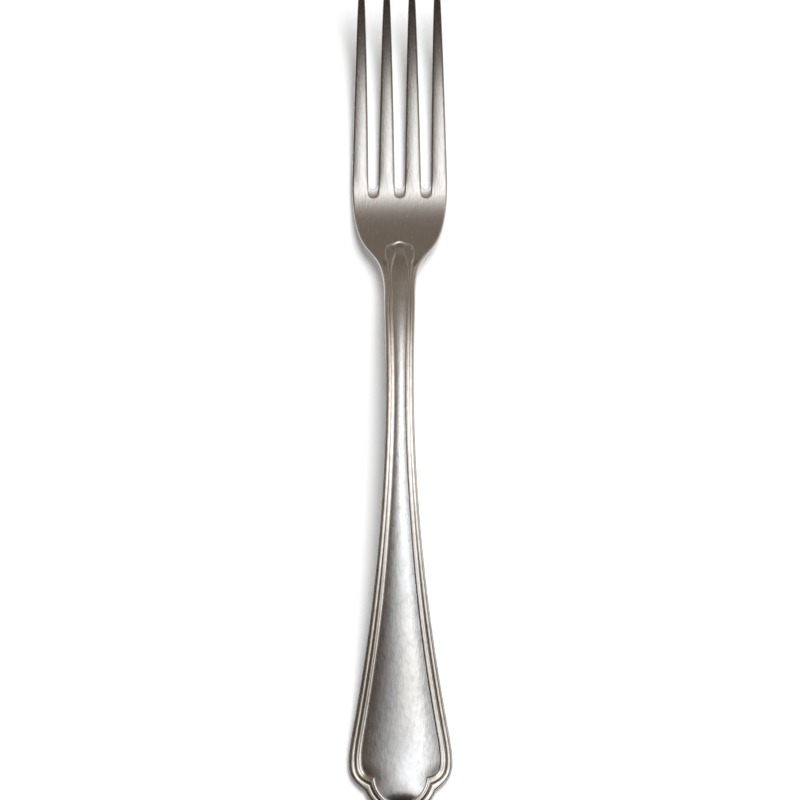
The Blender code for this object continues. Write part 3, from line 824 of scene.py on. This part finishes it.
def threaded_rings(form, start, end, step):
    """Rings round a straight stretch of stem or handle.

    The panel is a shallow arch across its width, the two threads follow the share of the way from
    the worn edge to the panel, and the worn edge is a quarter ellipse.
    """
    y = spaced(start, end, step)[:, None]
    rim, edge, panel = form.half_width(y), form.edge(y), form.panel(y)
    s, f, g = across(33), THREAD_SHARES, WORN_SHARES
    split, parted = form.split(y), form.parted(y)
    width = rim - edge - panel
    x = np.concatenate([panel * s, panel + width * (1.0 - f), rim - edge + edge * g], axis=1)
    fall = form.border_fall(y) * width
    threads = form.thread(y) * beads(f, split, width, parted, form.fine(y))
    lift = np.concatenate([form.crown(y) * panel * (1.0 - s ** 2), threads - fall * (1.0 - f),
                           -fall - worn_drop(edge * (1.0 - g), edge, form.edge_fall(y))], axis=1)
    marks = border_marks(len(y), s, groove_marks(f, split, width, parted), g)
    place = np.stack([x, np.broadcast_to(y, x.shape)], axis=-1)
    return finish_rings(form, place, form.face(y) + lift, marks, np.concatenate([rim, y], 1))


def lobe_arc(form, radius, turn):
    """Points of a circle about the lobe's middle, from its right side down as turn grows."""
    return radius * np.stack([np.cos(turn), -np.sin(turn)], axis=1) + (0.0, form.lobe)


def end_lines(form):
    """Edge, panel line and spine of the handle end, as matching rows of points.

    The shoulder is a Bezier curve down to the corner and the lobe a circle. The panel line is a
    Bezier curve that arrives level at its own corner, and then a smaller circle about the same
    middle. The spine runs down the middle to the place that the lobe's rows fan out from.
    """
    plan, relief = form.plan, form.relief
    top, wide = form.handle_cut, plan.handle_width / 2
    corner = np.array((plan.corner_half_width,
                       form.lobe - math.sqrt(plan.lobe_radius ** 2 - plan.corner_half_width ** 2)))
    t = np.concatenate([[0.0, 0.004], np.linspace(0.0, 1.0, SHOULDER_ROWS)[1:-1], [0.997, 1.0]])
    pull = plan.shoulder_pull * np.array((math.cos(SHOULDER_LEAN), math.sin(SHOULDER_LEAN)))
    outer = cubic((wide, top), (wide + form.flare * plan.shoulder_fall, top - plan.shoulder_fall),
                  corner + pull, corner, t)
    inset = wide - relief.handle_border
    fall = 0.75 * (top - form.lobe)
    level = (plan.panel_lobe_radius + 0.63 * plan.shoulder_pull, form.lobe + 0.1 * relief.handle_border)
    inner = cubic((inset, top), (inset + form.flare * fall, top - fall), level,
                  (plan.panel_lobe_radius, form.lobe), t)
    start = math.asin((form.lobe - corner[1]) / plan.lobe_radius)
    w = np.concatenate([[0.008], np.linspace(0.0, 1.0, LOBE_ROWS)[1:]])
    lobe = lobe_arc(form, plan.lobe_radius, start + (math.pi / 2 - start) * w)
    panel_lobe = lobe_arc(form, plan.panel_lobe_radius, math.pi / 2 * w)
    lobe[-1, 0] = 0.0
    panel_lobe[-1, 0] = 0.0
    edge = np.concatenate([outer, lobe])
    panel = np.concatenate([inner, panel_lobe])
    fan = form.lobe + LOBE_FAN
    spine = np.zeros(edge.shape)
    spine[:, 1] = fan
    spine[:len(t), 1] = top + (fan - top) * t
    return edge, panel, spine


def end_dome(form, panel, place):
    """Crown of the panel on the handle end.

    Across, it is an arch as on the handle, on a half width that first keeps the handle's flare and
    then narrows towards the lobe. Along, it falls to nothing at the foot of the lobe with the
    fourth power of the way down.
    """
    x, y = place[:, :, 0], place[:, :, 1]
    start = form.lobe + LOBE_FAN
    half = panel[0, 0] + form.flare * END_REACH * (1.0 - np.exp((y - form.handle_cut) / END_REACH))
    narrow = half - END_NARROWING * ease((start - y) / (1.3 * LOBE_FAN))
    fall = np.clip((start - y) / (start - panel[-1, 1]), 0.0, 1.0) ** 4
    return form.relief.crown * half * np.maximum(1.0 - (x / narrow) ** 2, -0.15) * (1.0 - fall)


def end_rings(form):
    """Rings of the handle end: rows that turn with its edge, folded shut at the tip of the lobe.

    Where the panel's crown still stands above its line, the threads ride on a base that eases from
    that height down to the outer edge.
    """
    relief = form.relief
    edge, panel, spine = end_lines(form)
    inward = (panel - edge) / np.linalg.norm(panel - edge, axis=1)[:, None]
    rim = relief.stem_edge
    field = edge + inward * rim
    s, f, g = across(49), THREAD_SHARES, WORN_SHARES
    place = np.concatenate([spine[:, None] + (panel - spine)[:, None] * s[:, :, None],
                            panel[:, None] + (field - panel)[:, None] * (1.0 - f[:, :, None]),
                            field[:, None] + (edge - field)[:, None] * g[:, :, None]], axis=1)
    split = form.split(np.full((len(edge), 1), form.handle_cut))
    dome = end_dome(form, panel, place[:, :s.shape[1]])
    width = np.linalg.norm(field - panel, axis=1)[:, None]
    shoulder = ease(np.arange(len(edge)) / SHOULDER_ROWS)[:, None]
    fall = relief.border_fall * width * (1.0 - shoulder)
    threads = relief.handle_thread * beads(f, split, width, 1.0, form.fine(form.handle_cut))
    lift = np.concatenate([dome, threads + dome[:, -1:] * ease(f) - fall * (1.0 - f),
                           -fall - worn_drop(rim * (1.0 - g), rim, relief.edge_fall)], axis=1)
    marks = border_marks(len(edge), s, groove_marks(f, split, width, 1.0), g)
    return finish_rings(form, place, form.face(place[:, :, 1]) + lift, marks, edge)


def add_node(tree, kind, place, **settings):
    """A shader node with its settings: properties of the node, or else values of its inputs."""
    node = tree.nodes.new(kind)
    node.location = place
    for name, value in settings.items():
        if hasattr(node, name):
            setattr(node, name, value)
        else:
            node.inputs[name].default_value = value
    return node


def add_math(tree, place, operation, first, second, use_clamp=False):
    """A sum, product or the like of an output and either another output or a number."""
    node = add_node(tree, "ShaderNodeMath", place, operation=operation, use_clamp=use_clamp)
    tree.links.new(first, node.inputs[0])
    if isinstance(second, bpy.types.NodeSocket):
        tree.links.new(second, node.inputs[1])
    else:
        node.inputs[1].default_value = second
    return node.outputs[0]


def add_range(tree, place, value, source, target, kind="LINEAR"):
    """A value carried from the source range over to the target range."""
    node = add_node(tree, "ShaderNodeMapRange", place, interpolation_type=kind)
    for name, number in zip(("From Min", "From Max", "To Min", "To Max"), (*source, *target)):
        node.inputs[name].default_value = number
    tree.links.new(value, node.inputs["Value"])
    return node.outputs["Result"]


def add_noise(tree, where, height, grain, **settings):
    """A noise over positions that are scaled by grain in X, Y and Z."""
    mapped = add_node(tree, "ShaderNodeMapping", (-1300, height), Scale=grain)
    noise = add_node(tree, "ShaderNodeTexNoise", (-1100, height), **settings)
    tree.links.new(where, mapped.inputs["Vector"])
    tree.links.new(mapped.outputs["Vector"], noise.inputs["Vector"])
    return noise.outputs["Fac"]


def add_mark(tree, mark, strength, height):
    """A piece's own mark times a strength."""
    read = add_node(tree, "ShaderNodeAttribute", (-1100, height), attribute_name=mark)
    return add_math(tree, (-800, height), "MULTIPLY", read.outputs["Fac"], strength)


def worn_steel(finish):
    """Worn satin metal: lengthwise hairlines, faint dents, and grooves darkened partly by tarnish and partly
    by painted shade.

    A noise stretched along the fork gives the hairlines, a rounder one the dents and specks, and a
    slow one the wear. Colour, gloss and the heights of both bumps change from handle to head. The
    pieces' own marks bring in the grooves' darker colour, partly tarnish and partly painted shade, and
    the warmer metal of the threads.
    """
    material = bpy.data.materials.get("worn_steel")
    if material:
        return material
    material = bpy.data.materials.new("worn_steel")
    material.use_nodes = True
    tree = material.node_tree
    link = tree.links.new
    shader = tree.nodes["Principled BSDF"]
    shader.inputs["Metallic"].default_value = 1.0
    where = add_node(tree, "ShaderNodeTexCoord", (-1500, 0)).outputs["Object"]
    split = add_node(tree, "ShaderNodeSeparateXYZ", (-1100, 600))
    link(where, split.inputs["Vector"])
    along = split.outputs["Y"]
    hair = add_noise(tree, where, 300, HAIR_GRAIN, Scale=1.0, Detail=3.0, Roughness=0.6)
    dents = add_noise(tree, where, 0, ROUND_GRAIN, Scale=1.0, Detail=2.0, Roughness=0.5)
    slow = add_noise(tree, where, -300, ROUND_GRAIN, Scale=0.4, Detail=3.0, Roughness=0.6)
    hair_share, dent_share = (
        add_range(tree, (-800, 800 + 250 * place), along, HEAD_RANGE, (1.0, on_head), "SMOOTHSTEP")
        for place, on_head in enumerate((finish.head_hair, finish.head_dents)))
    wear = add_range(tree, (-800, -300), slow, (0.35, 0.7), (0.0, 0.18))
    specks = add_range(tree, (-800, -100), dents, (0.48, 0.75), (0.0, 0.3))
    spots = add_math(tree, (-650, -250), "ADD", wear, specks, use_clamp=True)
    spots = add_math(tree, (-500, -250), "MULTIPLY", spots, dent_share)
    # The groove mark darkens the colour: partly tarnish, partly painted shade in the deep grooves.
    dull = add_mark(tree, "groove", GROOVE_TARNISH_AND_SHADE, -600)
    warm = add_mark(tree, "border", THREAD_WARMTH, -800)
    metal = soft_step(tree, along, HEAD_RANGE, finish.steel, finish.head_steel, 600)
    for factor, tone in ((warm, finish.warm_steel), (spots, finish.speck), (dull, finish.tarnish_and_shade)):
        mix = add_node(tree, "ShaderNodeMix", (-200, 0), data_type="RGBA")
        mix.inputs[7].default_value = (*tone, 1.0)
        link(factor, mix.inputs["Factor"])
        link(metal, mix.inputs[6])
        metal = mix.outputs[2]
    link(metal, shader.inputs["Base Color"])
    gloss = add_range(tree, (-350, -300), hair, (0.25, 0.75), (finish.gloss, finish.dull))
    satin = add_range(tree, (-800, 600), along, SATIN_RANGE, (0.0, finish.satin), "SMOOTHSTEP")
    link(add_math(tree, (-150, -300), "ADD", gloss, satin), shader.inputs["Roughness"])
    hair_bump = add_node(tree, "ShaderNodeBump", (-600, 400), Strength=0.5, Distance=HAIR_HEIGHT)
    dent_bump = add_node(tree, "ShaderNodeBump", (-350, 300), Strength=0.28, Distance=DENT_HEIGHT)
    for noise, part, bump in ((hair, hair_share, hair_bump), (dents, dent_share, dent_bump)):
        link(add_math(tree, (-500, 200), "MULTIPLY", noise, part), bump.inputs["Height"])
    link(hair_bump.outputs["Normal"], dent_bump.inputs["Normal"])
    link(dent_bump.outputs["Normal"], shader.inputs["Normal"])
    return material


class FORK_OT_tines(Operator):
    """Builds the four tapered tines"""
    bl_idname = "fork.tines"
    bl_label = "Tines"

    def execute(self, context):
        form = ForkForm(context.scene)
        for place, node in enumerate(TINES):
            rings, marks = tine_rings(form, place)
            add_piece(context, node, [rings], [marks])
        return {"FINISHED"}


class FORK_OT_palm(Operator):
    """Builds the dished palm with its three scooped slot ends"""
    bl_idname = "fork.palm"
    bl_label = "Palm"

    def execute(self, context):
        sheets, marks = palm_sheets(ForkForm(context.scene))
        add_piece(context, "palm", sheets, marks)
        return {"FINISHED"}


class FORK_OT_neck(Operator):
    """Builds the neck with its shoulders and raised tongue"""
    bl_idname = "fork.neck"
    bl_label = "Neck"

    def execute(self, context):
        rings, marks = neck_rings(ForkForm(context.scene))
        add_piece(context, "neck", [rings], [marks])
        return {"FINISHED"}


class FORK_OT_handle(Operator):
    """Builds the threaded stem, the handle and the lobed handle end"""
    bl_idname = "fork.handle"
    bl_label = "Stem and Handle"

    def execute(self, context):
        form = ForkForm(context.scene)
        stretches = {"stem": (form.neck_cut, form.stem_cut), "handle": (form.stem_cut, form.handle_cut)}
        for node, (start, end) in stretches.items():
            rings, marks = threaded_rings(form, start, end, 0.5 * MM)
            add_piece(context, node, [rings], [marks])
        rings, marks = end_rings(form)
        add_piece(context, "handle_end", [rings], [marks])
        return {"FINISHED"}


class FORK_OT_stage(Operator):
    """Sets up the white floor, the soft light and the camera above the fork"""
    bl_idname = "fork.stage"
    bl_label = "Stage"

    def execute(self, context):
        scene = context.scene
        stage = scene.fork_stage
        scene.view_settings.view_transform = "Standard"
        add_floor(scene, stage)
        add_light(scene, stage)
        add_room(scene, stage)
        lens = bpy.data.cameras.new("camera")
        lens.sensor_width = SENSOR
        lens.lens = SENSOR * stage.distance / stage.field
        lens.clip_end = 100.0
        camera = bpy.data.objects.new("camera", lens)
        camera.location = (0.0, stage.aim, stage.distance)
        camera.rotation_euler = (0.0, 0.0, CAMERA_ROLL)
        scene.collection.objects.link(camera)
        scene.camera = camera
        return {"FINISHED"}


def pale_floor(stage):
    """Matt white floor that glows a little where the camera or the metal sees it."""
    material = bpy.data.materials.new("pale_floor")
    material.use_nodes = True
    tree = material.node_tree
    shader = tree.nodes["Principled BSDF"]
    shader.inputs["Base Color"].default_value = (*stage.floor, 1.0)
    shader.inputs["Roughness"].default_value = 1.0
    shader.inputs["Specular IOR Level"].default_value = 0.0
    shader.inputs["Emission Color"].default_value = (1.0, 1.0, 1.0, 1.0)
    ray = add_node(tree, "ShaderNodeLightPath", (-800, 0))
    seen = ray.outputs["Is Camera Ray"]
    for place, kind in enumerate(("Is Glossy Ray", "Is Transmission Ray")):
        seen = add_math(tree, (-600 + 150 * place, 0), "MAXIMUM", seen, ray.outputs[kind])
    glow = add_math(tree, (-250, 0), "MULTIPLY", seen, stage.floor_glow)
    tree.links.new(glow, shader.inputs["Emission Strength"])
    return material


def add_floor(scene, stage):
    """A wide flat grid just under the fork."""
    places = np.linspace(-FLOOR_REACH, FLOOR_REACH, FLOOR_POINTS)
    x, y = np.meshgrid(places, places)
    points = np.stack([x, y, np.full(x.shape, -FLOOR_DROP)], axis=-1).reshape(-1, 3)
    mesh = bpy.data.meshes.new("floor")
    mesh.from_pydata(points.tolist(), [], quads(np.arange(x.size).reshape(x.shape)).tolist())
    mesh.materials.append(pale_floor(stage))
    floor = bpy.data.objects.new("floor", mesh)
    scene.collection.objects.link(floor)


def add_light(scene, stage):
    """One wide lamp from the right and the tines' side, for the floor's white and the soft shadow."""
    lamp = bpy.data.lights.new("key", "SUN")
    lamp.energy = stage.key
    lamp.angle = LAMP_WIDTH
    lamp.color = LAMP_COLOUR
    key = bpy.data.objects.new("key", lamp)
    key.rotation_euler = LAMP_TURN
    key.visible_glossy = False
    scene.collection.objects.link(key)


def soft_lobe(tree, where, middle, spread, colour, height):
    """A soft patch of light: a bell of how far a direction lies from the patch's middle, in X and Y."""
    middle = np.array((*middle, 0.0))
    shrink = np.array((1.0 / spread[0], 1.0 / spread[1], 0.0))
    link = tree.links.new
    mapped = add_node(tree, "ShaderNodeMapping", (-700, height),
                      Location=tuple(-middle * shrink), Scale=tuple(shrink))
    square = add_node(tree, "ShaderNodeVectorMath", (-500, height), operation="DOT_PRODUCT")
    fade = add_node(tree, "ShaderNodeMath", (-300, height), operation="POWER")
    fade.inputs[0].default_value = math.exp(-0.5)
    glow = add_node(tree, "ShaderNodeVectorMath", (-100, height), operation="SCALE")
    glow.inputs[0].default_value = colour
    link(where.outputs["Generated"], mapped.inputs["Vector"])
    link(mapped.outputs["Vector"], square.inputs[0])
    link(mapped.outputs["Vector"], square.inputs[1])
    link(square.outputs["Value"], fade.inputs[1])
    link(fade.outputs[0], glow.inputs["Scale"])
    return glow.outputs["Vector"]


def soft_step(tree, value, source, first, last, height):
    """A colour that eases from first to last while the value runs over the source range."""
    step = add_range(tree, (-500, height), value, source, (0.0, 1.0), "SMOOTHSTEP")
    mix = add_node(tree, "ShaderNodeMix", (-300, height), data_type="RGBA")
    mix.inputs[6].default_value = (*first, 1.0)
    mix.inputs[7].default_value = (*last, 1.0)
    tree.links.new(step, mix.inputs["Factor"])
    return mix.outputs[2]


def add_room(scene, stage):
    """The room that the metal reflects: dim and warm, with a wide soft window overhead to the right.

    Seven bells make the window and two more the paler walls on both sides, and the walls are a little
    paler low around the fork. The room lights the floor less than it shows in the metal.
    """
    world = bpy.data.worlds.new("room")
    world.use_nodes = True
    tree = world.node_tree
    where = add_node(tree, "ShaderNodeTexCoord", (-900, 0))
    split = add_node(tree, "ShaderNodeSeparateXYZ", (-700, -400))
    tree.links.new(where.outputs["Generated"], split.inputs["Vector"])
    lights = [soft_step(tree, split.outputs["Y"], ROOM_RANGE, stage.room_front, stage.room_back, -400),
              soft_step(tree, split.outputs["Z"], HORIZON_RANGE, stage.horizon, (0.0, 0.0, 0.0), -700)]
    for place, (middle, spread, light) in enumerate(WINDOW):
        colour = tuple(np.array(light) * stage.window)
        lights.append(soft_lobe(tree, where, middle, spread, colour, 200 * place))
    total = lights[0]
    for place, light in enumerate(lights[1:]):
        both = add_node(tree, "ShaderNodeVectorMath", (100 + 150 * place, 0), operation="ADD")
        tree.links.new(total, both.inputs[0])
        tree.links.new(light, both.inputs[1])
        total = both.outputs["Vector"]
    tree.links.new(total, tree.nodes["Background"].inputs["Color"])
    ray = add_node(tree, "ShaderNodeLightPath", (-300, -900))
    dimmer = add_range(tree, (-100, -900), ray.outputs["Is Diffuse Ray"], (0.0, 1.0), (1.0, stage.spill))
    tree.links.new(dimmer, tree.nodes["Background"].inputs["Strength"])
    scene.world = world


class FORK_PT_panel(Panel):
    """Lists the fork's pieces and sizes"""
    bl_idname = "FORK_PT_panel"
    bl_label = "Dessert Fork"
    bl_space_type = "VIEW_3D"
    bl_region_type = "UI"
    bl_category = "Fork"

    def draw(self, context):
        layout = self.layout
        for operator in OPERATORS:
            layout.operator(operator.bl_idname)
        for group in GROUPS:
            box = layout.box()
            for name in GROUPS[group].__annotations__:
                box.prop(getattr(context.scene, group), name)


GROUPS = {"fork_plan": ForkPlan, "fork_side": ForkSide, "fork_relief": ForkRelief,
          "fork_finish": ForkFinish, "fork_stage": ForkStage}
OPERATORS = (FORK_OT_tines, FORK_OT_palm, FORK_OT_neck, FORK_OT_handle, FORK_OT_stage)


def register():
    """Adds the sizes, the operators and the panel to Blender."""
    for group in GROUPS:
        bpy.utils.register_class(GROUPS[group])
        setattr(bpy.types.Scene, group, PointerProperty(type=GROUPS[group]))
    for operator in OPERATORS:
        bpy.utils.register_class(operator)
    bpy.utils.register_class(FORK_PT_panel)


def unregister():
    """Takes them out again, in the opposite order."""
    bpy.utils.unregister_class(FORK_PT_panel)
    for operator in reversed(OPERATORS):
        bpy.utils.unregister_class(operator)
    for group in reversed(GROUPS):
        delattr(bpy.types.Scene, group)
        bpy.utils.unregister_class(GROUPS[group])


def main():
    """Builds stage and fork."""
    register()
    bpy.ops.fork.stage()
    bpy.ops.fork.tines()
    bpy.ops.fork.palm()
    bpy.ops.fork.neck()
    bpy.ops.fork.handle()
    bpy.context.view_layer.update()


if __name__ == "__main__":
    main()
